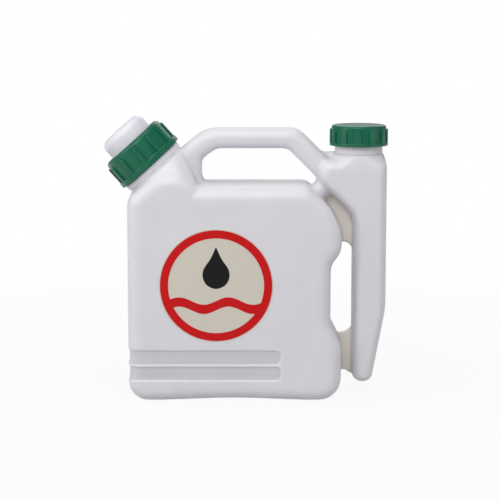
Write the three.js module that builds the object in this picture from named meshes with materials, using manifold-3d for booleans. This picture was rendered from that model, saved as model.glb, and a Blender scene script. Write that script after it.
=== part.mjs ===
// Fuel mixing bottle: a blow-moulded tank with a hollow handle and a tall oil chamber,
// a tilted filler neck closed by a ring cap over a domed stopper, and an oil neck with a screw cap.
// Millimetres, +Z up, X to the right along the tank, Y from the label side to the back.
// Working frame: x = 0 at the tank's left wall, z = 0 at the base, y = 0 on the mould's parting plane.

import * as THREE from 'three';
import { ConvexGeometry } from 'three/addons/geometries/ConvexGeometry.js';
import { mergeVertices } from 'three/addons/utils/BufferGeometryUtils.js';
import Module from 'manifold-3d';

const wasm = await Module();
wasm.setup();

// Tank
const tankWidth = 183;
const tankHeight = 185;
const tankDepth = 80;
const tankEdge = 11;
const wall = 1.6;
const footRadiusLeft = 17;
const footRadiusRight = 19;
const footPad = 12;
const archRise = 2.2;
const backChamfer = 28.3;
const backCurve = 44;
const topCurve = 12;

// Hand recess in the tank's right wall
const recessLow = 66;
const recessDrop = 68.4;
const recessDepth = 9.3;
const recessRampLow = 18.4;
const recessRampHigh = 13.1;
const rampCurve = 14;

// Two grip bands pressed into the lower part of the tank
const bandBases = [18.8, 32.8];
const bandHeight = 12;
const bandEnd = 131;
const bandDepth = 1.2;
const bandCorner = 4.5;

// Handle
const fingerRoom = 30.4;
const gripThickness = 17.5;
const handleDepth = 26;
const handleEdge = 8;
const fingerLeft = 63.2;
const fingerCutLeft = 13;
const fingerCutHeight = 8.9;
const fingerCorner = 9;
const fingerCutCurve = 8;
const fingerKneeCurve = 10;
const fingerTipIn = 0.8;
const fingerTipRise = 3.1;
const fingerTipCurve = 4.5;
const fingerDip = 5;
const fingerDipStart = 18.3;
const fingerDipEnd = 10.3;
const fingerDipCurve = 3;
const handleSlope = 0.79;
const handleKneeCurve = 26;
const handleEndCurve = 14;
const handleRootReach = 2;
const handleRootIn = 16;
const handleRootLead = 8;
const legRise = 3.9;
const legThickness = 18.7;
const saddleReach = 21.5;
const saddleRise = 2;
const handleSink = 20;

// Oil chamber
const chamberGap = 10.5;
const chamberWidth = 28.8;
const chamberDepth = 46;
const chamberBase = 12.2;
const chamberEdgeSide = 7.5;
const chamberEdgeFront = 14;
const chamberTaperStart = 77;
const chamberTaperIn = 12.1;
const chamberTaperCurve = 60;
const chamberFootMargin = 0.4;
const chamberTopMargin = 1;
const headCorner = 10.5;
const headKneeCurve = 20;
const headRise = 21.6;
const headReach = 30;
const bandWidthBetween = 8.6;

// Pinched web between tank and chamber
const webThickness = 3;
const webBase = 20;
const webTopRise = 28;
const webStep = 2.5;
const webTankSink = 20;
const webChamberSink = 4;
const webHeadIn = 2;
const webHeadOut = 3;
const webHeadDrop = 8;
const webTipIn = 4.5;
const webTipRise = 5;
const webTipOut = 5.5;
const webTipDrop = 9;
const webFootRise = 3;
const slotSink = 6;
const slotBase = 54.5;
const slotDrop = 51.2;
const slotCorner = 9.5;

// Filler neck, on an axis tilted towards the left, with its origin in the ring cap's bottom plane
const fillerTilt = THREE.MathUtils.degToRad(42);
const fillerCentreX = 19;
const fillerRise = 16.8;
const shoulderDrop = 7.5;
const shoulderRadius = 30;
const shoulderLobe = 13;
const shoulderCurve = 14;
const shoulderPeakWidth = 22;
const shoulderPlateDrop = 22;
const shoulderReach = 62;
const fillerRadius = 25.5;
const fillerWall = 2.2;
const beadRadius = 29;
const beadHeight = 4;
const beadDrop = 2.4;
const beadEdge = 1;
const beadChamfer = 0.6;
const beadGroove = 2;
const beadGrooveRise = 0.4;
const neckRootRise = 0.2;
const lipChamfer = 0.6;

// Filler ring cap and stopper
const ringHeight = 25.3;
const ringFlangeRadius = 31.7;
const ringFlangeHeight = 4.9;
const ringWall = 2;
const ringTopThickness = 2.4;
const ringTopEdge = 4;
const ringRibDepth = 1.7;
const ringRibWidth = 4.3;
const ringRibTop = 20.4;
const capChamfer = 0.5;
const ribSink = 0.7;
const ringRibTurn = THREE.MathUtils.degToRad(1);
const stopperRadius = 21.4;
const stopperRise = 15;
const stopperCrown = 0.6;
const stopperEdge = 7;
const stopperWall = 1.8;
const flangeThickness = 2;
const gasketThickness = 1.6;

// Oil neck and cap
const oilNeckInset = 23.9;
const oilCapRise = 11.3;
const oilNeckRadius = 20.5;
const oilNeckWall = 1.8;
const oilShoulderRise = 4.4;
const oilShoulderStep = 0.9;
const oilShoulderDrop = 6;
const oilCapHeight = 17.5;
const oilFlangeRadius = 25.2;
const oilFlangeHeight = 2.8;
const oilCapWall = 1.2;
const oilTopThickness = 2.2;
const oilTopEdge = 2.2;
const oilRibDepth = 1.5;
const oilRibWidth = 5.7;
const oilRibTop = 14.3;
const oilRibTurn = THREE.MathUtils.degToRad(-4.8);
const linerThickness = 1.2;

// Threads and fits
const fillerPitch = 6;
const oilPitch = 5;
const threadTurns = 1.5;
const threadHeight = 1.4;
const threadRootWidth = 2.4;
const threadCrestWidth = 1.3;
const threadSink = 0.8;
const threadEndShare = 0.35;
const threadFadeSteps = 3;
const threadClearance = 0.4;
const seatGap = 0.3;
const slideGap = 0.3;
const ribCount = 12;

// Label
const labelX = 75.8;
const labelZ = 101.4;
const labelRadius = 48.5;
const labelThickness = 0.3;
const printThickness = 0.15;
const printRingOuter = 47.7;
const printRingWidth = 6.9;
const waveDrop = 17;
const waveHeight = 3.2;
const waveLength = 42;
const waveBand = 8;
const dropRadius = 11.5;
const dropHeight = 36;
const dropLift = 9;
const dropTipWaist = 0.35;
const dropTipFall = 0.9;

// Smoothness of the facets
const arcStep = THREE.MathUtils.degToRad(18);
const edgeSteps = 3;
const hollowEdgeSteps = 2;
const roundSteps = 36;
const threadSteps = 18;
const ribArchSteps = 5;
const waveSteps = 24;
const meetRounds = 40;
const arcRoom = 0.97;
const overlap = 0.5;
const cutOver = 1;
const quarterTurn = Math.PI / 2;
const halfTurn = Math.PI;
const fullTurn = Math.PI * 2;

// Places worked out from the sizes above
const chamberLeft = tankWidth + chamberGap;
const chamberRight = chamberLeft + chamberWidth;
const headLeft = chamberLeft - headReach;
const recessHigh = tankHeight - recessDrop;
const slotTop = tankHeight - slotDrop;
const headTop = tankHeight + headRise;
const chamferSum = tankWidth + tankHeight - backChamfer;
const headSum = chamferSum + bandWidthBetween * Math.SQRT2;
const fingerTop = tankHeight + fingerRoom;
const handleTop = fingerTop + gripThickness;
const fillerCentreZ = tankHeight + fillerRise;
const fillerBore = fillerRadius - fillerWall;
const ringBore = fillerRadius + threadHeight + threadClearance;
const ringBodyRadius = ringBore + ringWall;
const ringLip = ringHeight - ringTopThickness;
const flangeTop = ringLip - seatGap;
const flangeBase = flangeTop - flangeThickness;
const gasketBase = flangeBase - seatGap - gasketThickness;
const fillerLip = gasketBase - seatGap;
const chamberFoot = chamberWidth - chamberTaperIn;
const chamberEdge = Math.min(chamberEdgeSide, chamberFoot / 2 - chamberFootMargin * 2);
const oilNeckX = chamberRight - oilNeckInset;
const oilCapBase = headTop + oilCapRise;
const oilBore = oilNeckRadius - oilNeckWall;
const oilCapBore = oilNeckRadius + threadHeight + threadClearance;
const oilBodyRadius = oilCapBore + oilCapWall;
const oilCeiling = oilCapHeight - oilTopThickness;
const linerBase = oilCeiling - seatGap - linerThickness;
const oilLip = linerBase - seatGap;
const labelFace = -tankDepth / 2;
const printRingInner = printRingOuter - printRingWidth;

const naturalPlastic = { color: '#d8d6dc', roughness: 0.42, metalness: 0 };
const greenPlastic = { color: '#145a43', roughness: 0.38, metalness: 0 };
const sealRubber = { color: '#55585a', roughness: 0.7, metalness: 0 };
const sealFoam = { color: '#eceae2', roughness: 0.8, metalness: 0 };
const creamPaper = { color: '#cfc8bb', roughness: 0.5, metalness: 0 };
const redInk = { color: '#c8191c', roughness: 0.45, metalness: 0 };
const blackInk = { color: '#1a1718', roughness: 0.45, metalness: 0 };

// Turns a closed three.js geometry into a solid that can be joined and cut.
function toSolid(geometry) {
  const bare = geometry.clone();
  bare.deleteAttribute('normal');
  bare.deleteAttribute('uv');
  const merged = mergeVertices(bare, 1e-4);
  return new wasm.Manifold(
    new wasm.Mesh({
      numProp: 3,
      vertProperties: Float32Array.from(merged.attributes.position.array),
      triVerts: Uint32Array.from(merged.index.array),
    }),
  );
}

// Turns a solid back into a three.js geometry.
function toGeometry(solid) {
  const mesh = solid.getMesh();
  const geometry = new THREE.BufferGeometry();
  geometry.setAttribute('position', new THREE.BufferAttribute(mesh.vertProperties, 3));
  geometry.setIndex(new THREE.BufferAttribute(mesh.triVerts, 1));
  geometry.computeVertexNormals();
  return geometry;
}

function namedMesh(name, geometry, look) {
  const mesh = new THREE.Mesh(geometry, new THREE.MeshStandardMaterial(look));
  mesh.name = name;
  return mesh;
}

// Points of an arc from one angle to another, both ends included.
function arcPoints(x, y, radius, from, to, step = arcStep) {
  const count = Math.max(1, Math.round(Math.abs(to - from) / step));
  return Array.from({ length: count + 1 }, (unused, i) => {
    const angle = from + ((to - from) * i) / count;
    return new THREE.Vector2(x + radius * Math.cos(angle), y + radius * Math.sin(angle));
  });
}

// How a closed outline turns at each of its corners, and how far along its sides each arc reaches.
function cornerTurns(corners) {
  return corners.map(([x, z, radius], i) => {
    const before = corners.at(i - 1);
    const after = corners[(i + 1) % corners.length];
    const inward = new THREE.Vector2(x - before[0], z - before[1]);
    const outward = new THREE.Vector2(after[0] - x, after[1] - z);
    const turn = Math.atan2(inward.cross(outward), inward.dot(outward));
    const reach = radius * Math.tan(Math.abs(turn) / 2);
    return { turn, reach, side: outward.length(), inward: inward.normalize() };
  });
}

// A closed outline through corners given as [x, z, radius], with every corner rounded by an arc.
// Where two arcs would cross on the side between them, they shrink until both fit on it.
function roundedOutline(corners) {
  const turns = cornerTurns(corners);
  return corners.flatMap(([x, z, radius], i) => {
    const corner = new THREE.Vector2(x, z);
    if (!radius) return [corner];
    const { turn, reach, side, inward } = turns[i];
    const before = turns.at(i - 1);
    const after = turns[(i + 1) % turns.length];
    const fits = Math.min(before.side / (before.reach + reach), side / (reach + after.reach));
    const share = Math.min(1, fits * arcRoom);
    const start = corner.clone().addScaledVector(inward, -reach * share);
    const toCentre = new THREE.Vector2(-inward.y, inward.x).multiplyScalar(radius * share * Math.sign(turn));
    const centre = start.clone().add(toCentre);
    const from = Math.atan2(start.y - centre.y, start.x - centre.x);
    return arcPoints(centre.x, centre.y, radius * share, from, from + turn);
  });
}

// A body drawn in the XZ plane, centred on the parting plane, with its long edges rounded.
// An inset shrinks it by that much all round, which gives the hollow inside a wall of that thickness.
// With side -1 it is an opening instead, which flares towards the faces and grows with the inset.
function roundedPlate(outline, depth, edgeSide, edgeFront, inset, side = 1) {
  const straight = depth - 2 * edgeFront;
  const plate = new THREE.ExtrudeGeometry(new THREE.Shape(outline), {
    depth: straight,
    bevelSize: side * (edgeSide - inset),
    bevelThickness: edgeFront - inset,
    bevelOffset: -side * edgeSide,
    bevelSegments: inset > 0 ? hollowEdgeSteps : edgeSteps,
  });
  plate.translate(0, 0, -straight / 2);
  plate.rotateX(quarterTurn);
  return plate;
}

// A plain slab drawn in the XZ plane, centred on the parting plane.
function flatSlab(outline, thickness, hole) {
  const shape = new THREE.Shape(outline);
  if (hole) shape.holes.push(new THREE.Path(hole));
  const slab = new THREE.ExtrudeGeometry(shape, { depth: thickness, bevelEnabled: false });
  slab.translate(0, 0, -thickness / 2);
  slab.rotateX(quarterTurn);
  return slab;
}

// A turned shape about the Z axis from a profile of [radius, height] points.
function turned(profile, steps = roundSteps) {
  const points = profile.map(([radius, height]) => new THREE.Vector2(radius, height));
  const lathe = new THREE.LatheGeometry(points, steps);
  lathe.rotateX(quarterTurn);
  return lathe;
}

// A ring of points at one height: a rectangle whose corners are quarter ellipses.
function sectionRing(halfX, halfY, cornerX, cornerY, height) {
  return arcPoints(0, 0, 1, 0, fullTurn)
    .slice(0, -1)
    .flatMap(({ x, y }) => {
      const sideX = Math.abs(x) < 1e-9 ? [-1, 1] : [Math.sign(x)];
      const sideY = Math.abs(y) < 1e-9 ? [-1, 1] : [Math.sign(y)];
      return sideX.flatMap((sx) => sideY.map((sy) => new THREE.Vector3(
        sx * (halfX - cornerX) + x * cornerX,
        sy * (halfY - cornerY) + y * cornerY,
        height,
      )));
    });
}

// Vertices of a geometry as points, for a hull.
function cornersOf(geometry) {
  const at = geometry.attributes.position;
  return Array.from({ length: at.count }, (unused, i) => new THREE.Vector3().fromBufferAttribute(at, i));
}

// A raised thread: a bar bent along a helix, fading out at both ends.
// The side named crest stands proud and the other is sunk in the wall that carries the thread.
function helicalRidge(innerRadius, outerRadius, crest, pitch, startHeight) {
  const steps = Math.round(threadTurns * threadSteps);
  const ridge = new THREE.BoxGeometry(1, 1, 1, steps, 1, 1);
  const at = ridge.attributes.position;
  for (let i = 0; i < at.count; i += 1) {
    const along = at.getX(i) + 0.5;
    const isOuter = at.getZ(i) > 0;
    const isCrest = isOuter === (crest === 'outer');
    const fromEnd = Math.min(along, 1 - along) * steps;
    const fade = threadEndShare + (1 - threadEndShare) * Math.min(1, fromEnd / threadFadeSteps);
    const root = crest === 'outer' ? innerRadius : outerRadius;
    const peak = crest === 'outer' ? outerRadius : innerRadius;
    const radius = isCrest ? root + (peak - root) * fade : root;
    const width = isCrest ? threadCrestWidth : threadRootWidth;
    const angle = along * threadTurns * fullTurn;
    const height = startHeight + along * threadTurns * pitch + at.getY(i) * width;
    at.setXYZ(i, radius * Math.cos(angle), radius * Math.sin(angle), height);
  }
  return ridge;
}

// An upright grip rib with an arched top, standing on a cap's wall at the given angle.
function gripRib(width, base, top, innerRadius, outerRadius, angle) {
  const half = width / 2;
  const arch = arcPoints(0, top - half, half, 0, halfTurn, halfTurn / ribArchSteps);
  const outline = [new THREE.Vector2(-half, base), new THREE.Vector2(half, base), ...arch];
  const rib = new THREE.ExtrudeGeometry(new THREE.Shape(outline), {
    depth: outerRadius - innerRadius,
    bevelEnabled: false,
  });
  rib.rotateX(quarterTurn);
  rib.translate(0, -innerRadius, 0);
  rib.rotateZ(angle);
  return rib;
}

// Places a shape made on an upright axis onto the tilted filler axis.
function onFillerAxis(geometry) {
  const placed = geometry.clone();
  placed.rotateY(-fillerTilt);
  placed.translate(fillerCentreX, 0, fillerCentreZ);
  return placed;
}

// Where a point of the filler axis frame lies in the working frame.
function fillerPoint(radial, axial) {
  const point = new THREE.Vector3(radial, 0, axial);
  point.applyAxisAngle(new THREE.Vector3(0, 1, 0), -fillerTilt);
  return [fillerCentreX + point.x, fillerCentreZ + point.z];
}

// Height at which the shoulder's sloping top meets the tank's left wall.
function shoulderFoot() {
  const [x, z] = fillerPoint(0, -shoulderDrop);
  return z - x * Math.tan(fillerTilt);
}

function tankOutline() {
  const foot = shoulderFoot();
  const slopeEnd = (tankHeight - foot) / Math.tan(fillerTilt);
  const archStart = footRadiusLeft + footPad;
  const archEnd = tankWidth - footRadiusRight - footPad;
  const archMiddle = (archStart + archEnd) / 2;
  const archRadius = ((archEnd - archStart) ** 2 / 4 + archRise ** 2) / (2 * archRise);
  const recessX = tankWidth - recessDepth;
  return roundedOutline([
    [0, 0, footRadiusLeft],
    [archStart, 0, 0],
    [archMiddle, archRise, archRadius / 2],
    [archEnd, 0, 0],
    [tankWidth, 0, footRadiusRight],
    [tankWidth, recessLow - recessRampLow, rampCurve],
    [recessX, recessLow, rampCurve],
    [recessX, recessHigh, rampCurve],
    [tankWidth, recessHigh + recessRampHigh, rampCurve],
    [tankWidth, tankHeight - backChamfer, backCurve],
    [tankWidth - backChamfer, tankHeight, topCurve],
    [slopeEnd, tankHeight, topCurve],
    [0, foot, topCurve],
  ]);
}

// The tank with its grip bands, which wrap round the front, the left side and the back.
function tankSolid(inset) {
  const outline = tankOutline();
  const body = toSolid(roundedPlate(outline, tankDepth, tankEdge, tankEdge, inset));
  const pressed = toSolid(roundedPlate(outline, tankDepth, tankEdge, tankEdge, inset + bandDepth));
  return bandBases.reduce((solid, base) => {
    const low = base - inset;
    const high = base + bandHeight + inset;
    const end = bandEnd + inset;
    const corner = bandCorner + inset;
    const band = roundedOutline([
      [-tankEdge, low, 0],
      [end, low, corner],
      [end, high, corner],
      [-tankEdge, high, 0],
    ]);
    return solid.subtract(toSolid(flatSlab(band, tankDepth * 2)).subtract(pressed));
  }, body);
}

// The shoulder that runs from the tank's full depth to the round filler neck.
function shoulderSolid(inset) {
  const foot = shoulderFoot();
  const [peakX, peakZ] = fillerPoint(0, -shoulderDrop);
  const lobe = roundedOutline([
    [0, foot - shoulderPlateDrop, topCurve],
    [shoulderReach, foot - shoulderPlateDrop, topCurve],
    [shoulderReach, tankHeight, topCurve],
    [peakX + shoulderPeakWidth, tankHeight + shoulderLobe, shoulderCurve],
    [peakX, peakZ, shoulderCurve],
    [0, foot, topCurve],
  ]);
  const base = roundedPlate(lobe, tankDepth, tankEdge, tankEdge, inset);
  const rimRadius = shoulderRadius - inset;
  const rimTop = -shoulderDrop - inset;
  const rimLow = rimTop - overlap;
  const disc = turned([[0, rimLow], [rimRadius, rimLow], [rimRadius, rimTop], [0, rimTop]]);
  return toSolid(new ConvexGeometry([...cornersOf(base), ...cornersOf(onFillerAxis(disc))]));
}

// The finger opening: square at the left, drawn out to a tip beside the chamber's head.
function fingerOutline() {
  const tipX = headLeft + fingerTipIn;
  const tipZ = tankHeight + fingerTipRise;
  const topRight = tipX - (fingerTop - tipZ);
  return roundedOutline([
    [fingerLeft, tankHeight - overlap, fingerCorner],
    [tipX - fingerDipStart, tankHeight - overlap, 0],
    [tipX - fingerDipEnd, tankHeight - fingerDip, fingerDipCurve],
    [tipX, tipZ, fingerTipCurve],
    [topRight, fingerTop, fingerCorner],
    [fingerLeft + fingerCutLeft, fingerTop, fingerKneeCurve],
    [fingerLeft, fingerTop - fingerCutHeight, fingerCutCurve],
  ]);
}

function handleSolid(inset) {
  const outerSum = headLeft + tankHeight + legRise + legThickness * Math.SQRT2;
  const [rootX, rootZ] = fillerPoint(shoulderRadius + handleRootReach, -shoulderDrop);
  const kneeX = rootX + (handleTop - rootZ) / handleSlope;
  const footX = headLeft + saddleReach;
  const footZ = tankHeight + saddleRise;
  const outline = roundedOutline([
    [rootX - handleRootIn, tankHeight - handleSink, 0],
    [footX - saddleRise - handleSink, tankHeight - handleSink, 0],
    [footX, footZ, 0],
    [footX, outerSum - footX, 0],
    [outerSum - handleTop, handleTop, handleEndCurve],
    [kneeX, handleTop, handleKneeCurve],
    [rootX - handleRootLead, rootZ - handleRootLead * handleSlope, 0],
  ]);
  const bar = toSolid(roundedPlate(outline, handleDepth, handleEdge, handleEdge, inset));
  const opening = toSolid(roundedPlate(fingerOutline(), handleDepth, handleEdge, handleEdge, inset, -1));
  return bar.subtract(opening);
}

function chamberSolid(inset) {
  const baseRight = chamberRight - chamberTaperIn;
  const footCurve = chamberEdge + chamberFootMargin;
  const outline = roundedOutline([
    [chamberLeft, chamberBase, footCurve],
    [baseRight, chamberBase, footCurve],
    [chamberRight, chamberTaperStart, chamberTaperCurve],
    [chamberRight, headTop, chamberEdge + chamberTopMargin],
    [headLeft, headTop, headCorner],
    [headLeft, headSum - headLeft, headCorner],
    [chamberLeft, headSum - chamberLeft, headKneeCurve],
  ]);
  return toSolid(roundedPlate(outline, chamberDepth, chamberEdge, chamberEdgeFront, inset));
}

// The short shoulder under the oil neck.
function oilShoulderSolid(inset) {
  const halfX = oilNeckInset - inset;
  const halfY = chamberDepth / 2 - inset;
  const rim = oilNeckRadius + oilShoulderStep - inset;
  const top = headTop + oilShoulderRise - inset;
  const low = headTop - oilShoulderDrop - inset;
  const points = [
    ...sectionRing(halfX, halfY, chamberEdge - inset, chamberEdgeFront - inset, low),
    ...sectionRing(rim, rim, rim, rim, top),
  ];
  const hull = new ConvexGeometry(points);
  hull.translate(oilNeckX, 0, 0);
  return toSolid(hull);
}

// The flat web that the mould pinches together between tank and chamber, with its long slot.
function webSolid() {
  const inTank = tankWidth - webTankSink;
  const inChamber = chamberLeft + webChamberSink;
  const top = tankHeight + webTopRise;
  const stepX = chamberLeft - webStep * 2;
  const slotLeft = tankWidth - recessDepth - slotSink;
  const outline = roundedOutline([
    [inTank, webBase, 0],
    [stepX, webBase, 0],
    [stepX + webStep, webBase - webStep, 0],
    [inChamber, webBase - webStep, 0],
    [inChamber, top, 0],
    [headLeft + webHeadIn, top, 0],
    [headLeft - webHeadOut, top - webHeadDrop, 0],
    [headLeft + webTipIn, tankHeight + webTipRise, 0],
    [headLeft - webTipOut, tankHeight - webTipDrop, 0],
    [inTank, tankHeight - backChamfer + webFootRise, 0],
  ]);
  const slot = roundedOutline([
    [slotLeft, slotBase, 0],
    [chamberLeft + overlap, slotBase, slotCorner],
    [chamberLeft + overlap, slotTop, slotCorner],
    [slotLeft, slotTop, 0],
  ]);
  return toSolid(flatSlab(outline, webThickness, slot));
}

function fillerNeckSolid() {
  const beadBase = -beadDrop - beadHeight;
  const groove = fillerRadius + beadGroove;
  const profile = [
    [0, -shoulderDrop - wall - overlap],
    [groove, -shoulderDrop - wall - overlap],
    [groove, beadBase - beadGrooveRise],
    [beadRadius - beadChamfer, beadBase],
    [beadRadius, beadBase + beadEdge],
    [beadRadius, -beadDrop - beadEdge],
    [beadRadius - beadChamfer, -beadDrop],
    [fillerRadius, -beadDrop + neckRootRise],
    [fillerRadius, fillerLip - lipChamfer],
    [fillerRadius - lipChamfer, fillerLip],
    [0, fillerLip],
  ];
  const crest = fillerRadius + threadHeight;
  const start = threadStart(fillerPitch);
  const thread = helicalRidge(fillerRadius - threadSink, crest, 'outer', fillerPitch, start);
  return toSolid(onFillerAxis(turned(profile))).add(toSolid(onFillerAxis(thread)));
}

function fillerBoreSolid() {
  const depth = shoulderDrop + wall + tankEdge;
  const top = fillerLip + cutOver;
  return toSolid(onFillerAxis(turned([[0, -depth], [fillerBore, -depth], [fillerBore, top], [0, top]])));
}

function oilNeckSolid() {
  const low = -oilCapRise + oilShoulderRise - overlap;
  const profile = [
    [0, low],
    [oilNeckRadius, low],
    [oilNeckRadius, oilLip - lipChamfer],
    [oilNeckRadius - lipChamfer, oilLip],
    [0, oilLip],
  ];
  const crest = oilNeckRadius + threadHeight;
  const thread = helicalRidge(oilNeckRadius - threadSink, crest, 'outer', oilPitch, threadStart(oilPitch));
  const neck = toSolid(turned(profile)).add(toSolid(thread));
  return neck.translate([oilNeckX, 0, oilCapBase]);
}

function oilBoreSolid() {
  const low = -oilCapRise - oilShoulderDrop;
  const top = oilLip + cutOver;
  const bore = turned([[0, low], [oilBore, low], [oilBore, top], [0, top]]);
  bore.translate(oilNeckX, 0, oilCapBase);
  return toSolid(bore);
}

// Height of a neck thread's first turn: the cap's thread starts half a pitch below it.
function threadStart(pitch) {
  return threadRootWidth / 2 + seatGap + pitch / 2;
}

function bottle() {
  const chamber = chamberSolid(0);
  const outside = tankSolid(0)
    .add(shoulderSolid(0))
    .add(handleSolid(0))
    .add(chamber)
    .add(oilShoulderSolid(0))
    .add(webSolid())
    .add(fillerNeckSolid())
    .add(oilNeckSolid());
  const tankHollow = tankSolid(wall).add(shoulderSolid(wall)).add(handleSolid(wall)).subtract(chamber);
  const oilHollow = chamberSolid(wall).add(oilShoulderSolid(wall)).add(oilBoreSolid());
  const solid = outside.subtract(tankHollow.add(fillerBoreSolid())).subtract(oilHollow);
  return namedMesh('bottle', toGeometry(solid), naturalPlastic);
}

// Joins a cap's turned body, its grip ribs and its inside thread.
function cap(profile, ribSizes, ribTurn, bore, pitch) {
  const [ribWidth, ribBase, ribTop, ribInner, ribOuter] = ribSizes;
  const start = threadStart(pitch) - pitch / 2;
  const thread = helicalRidge(bore - threadHeight, bore + threadSink, 'inner', pitch, start);
  const body = toSolid(turned(profile)).add(toSolid(thread));
  const turns = Array.from({ length: ribCount }, (unused, i) => ribTurn + (i * fullTurn) / ribCount);
  const ribs = turns.map((turn) => toSolid(gripRib(ribWidth, ribBase, ribTop, ribInner, ribOuter, turn)));
  return toGeometry(ribs.reduce((joined, rib) => joined.add(rib), body));
}

function fillerRingCap() {
  const edgeCentre = ringBodyRadius - ringTopEdge;
  const edge = arcPoints(edgeCentre, ringHeight - ringTopEdge, ringTopEdge, 0, quarterTurn, quarterTurn / 4);
  const hole = stopperRadius + slideGap;
  const profile = [
    [ringBore, 0],
    [ringFlangeRadius - capChamfer, 0],
    [ringFlangeRadius, capChamfer],
    [ringFlangeRadius, ringFlangeHeight - capChamfer],
    [ringFlangeRadius - capChamfer, ringFlangeHeight],
    [ringBodyRadius, ringFlangeHeight],
    ...edge.map(({ x, y }) => [x, y]),
    [hole, ringHeight],
    [hole, ringLip],
    [ringBore, ringLip],
    [ringBore, 0],
  ];
  const ribBase = ringFlangeHeight - overlap;
  const ribOuter = ringBodyRadius + ringRibDepth;
  const ribs = [ringRibWidth, ribBase, ringRibTop, ringBodyRadius - ribSink, ribOuter];
  return namedMesh('filler_ring_cap', cap(profile, ribs, ringRibTurn, ringBore, fillerPitch), greenPlastic);
}

// A hat of soft plastic: its brim is clamped by the ring cap and its crown stands up through it.
function fillerStopper() {
  const top = ringHeight + stopperRise;
  const inner = stopperRadius - stopperWall;
  const innerEdge = stopperEdge - stopperWall;
  const edgeX = stopperRadius - stopperEdge;
  const edgeZ = top - stopperEdge;
  const crown = arcPoints(edgeX, edgeZ, stopperEdge, 0, quarterTurn, quarterTurn / 5);
  const lining = arcPoints(edgeX, edgeZ, innerEdge, quarterTurn, 0, quarterTurn / 4);
  const profile = [
    [0, top + stopperCrown - stopperWall],
    ...lining.map(({ x, y }) => [x, y]),
    [inner, flangeBase],
    [fillerRadius, flangeBase],
    [fillerRadius, flangeTop],
    [stopperRadius, flangeTop],
    ...crown.map(({ x, y }) => [x, y]),
    [0, top + stopperCrown],
  ];
  return namedMesh('filler_stopper', turned(profile), naturalPlastic);
}

function fillerGasket() {
  const top = gasketBase + gasketThickness;
  const profile = [
    [fillerBore, gasketBase],
    [fillerRadius, gasketBase],
    [fillerRadius, top],
    [fillerBore, top],
    [fillerBore, gasketBase],
  ];
  return namedMesh('filler_gasket', turned(profile), sealRubber);
}

function oilCap() {
  const edgeCentre = oilBodyRadius - oilTopEdge;
  const edge = arcPoints(edgeCentre, oilCapHeight - oilTopEdge, oilTopEdge, 0, quarterTurn, quarterTurn / 4);
  const profile = [
    [0, oilCeiling],
    [oilCapBore, oilCeiling],
    [oilCapBore, 0],
    [oilFlangeRadius - capChamfer, 0],
    [oilFlangeRadius, capChamfer],
    [oilFlangeRadius, oilFlangeHeight - capChamfer],
    [oilFlangeRadius - capChamfer, oilFlangeHeight],
    [oilBodyRadius, oilFlangeHeight],
    ...edge.map(({ x, y }) => [x, y]),
    [0, oilCapHeight],
  ];
  const ribBase = oilFlangeHeight - overlap;
  const ribs = [oilRibWidth, ribBase, oilRibTop, oilBodyRadius - ribSink, oilBodyRadius + oilRibDepth];
  const mesh = namedMesh('oil_cap', cap(profile, ribs, oilRibTurn, oilCapBore, oilPitch), greenPlastic);
  mesh.position.set(oilNeckX, 0, oilCapBase);
  return mesh;
}

function oilCapLiner() {
  const top = linerBase + linerThickness;
  const liner = turned([[0, linerBase], [oilNeckRadius, linerBase], [oilNeckRadius, top], [0, top]]);
  const mesh = namedMesh('oil_cap_liner', liner, sealFoam);
  mesh.position.set(oilNeckX, 0, oilCapBase);
  return mesh;
}

// A flat piece on the label, drawn about the label's centre, with its back face at the given distance.
function labelPiece(name, shape, back, thickness, look) {
  const piece = new THREE.ExtrudeGeometry(shape, { depth: thickness, bevelEnabled: false });
  piece.rotateX(quarterTurn);
  const mesh = namedMesh(name, piece, look);
  mesh.position.set(labelX, labelFace - back, labelZ);
  return mesh;
}

// Half of the disc inside the printed ring, bounded by one edge of the wavy band.
function discPart(edgeShift, side) {
  const edgeAt = (x) => -waveDrop + edgeShift + waveHeight * Math.sin((fullTurn * x) / waveLength);
  const meet = (sign) => {
    let x = sign * printRingInner;
    for (let i = 0; i < meetRounds; i += 1) x = sign * Math.sqrt(printRingInner ** 2 - edgeAt(x) ** 2);
    return x;
  };
  const left = meet(-1);
  const right = meet(1);
  const edge = Array.from({ length: waveSteps + 1 }, (unused, i) => {
    const x = left + ((right - left) * i) / waveSteps;
    return new THREE.Vector2(x, edgeAt(x));
  });
  const from = Math.atan2(edgeAt(right), right);
  const to = Math.atan2(edgeAt(left), left);
  const sweep = side > 0 ? fullTurn + to : to;
  return [...edge, ...arcPoints(0, 0, printRingInner, from, sweep, arcStep / 2).slice(1, -1)];
}

function labelPieces() {
  const disc = (radius) => arcPoints(0, 0, radius, 0, fullTurn, arcStep / 2).slice(0, -1);
  const sheet = new THREE.Shape(disc(labelRadius));
  const red = new THREE.Shape(disc(printRingOuter));
  red.holes.push(new THREE.Path(discPart(waveBand / 2, 1)), new THREE.Path(discPart(-waveBand / 2, -1)));
  const drop = new THREE.Shape();
  const tip = dropLift + dropHeight - dropRadius;
  const lean = halfTurn / 7;
  const shoulderX = dropRadius * Math.cos(lean);
  const shoulderZ = dropLift + dropRadius * Math.sin(lean);
  drop.moveTo(0, tip);
  const waistX = dropRadius * dropTipWaist;
  const waistZ = tip - dropRadius * dropTipFall;
  drop.quadraticCurveTo(-waistX, waistZ, -shoulderX, shoulderZ);
  drop.absarc(0, dropLift, dropRadius, halfTurn - lean, fullTurn + lean, false);
  drop.quadraticCurveTo(waistX, waistZ, 0, tip);
  return [
    labelPiece('label_sheet', sheet, 0, labelThickness, creamPaper),
    labelPiece('label_red_print', red, labelThickness, printThickness, redInk),
    labelPiece('label_black_drop', drop, labelThickness, printThickness, blackInk),
  ];
}

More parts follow.
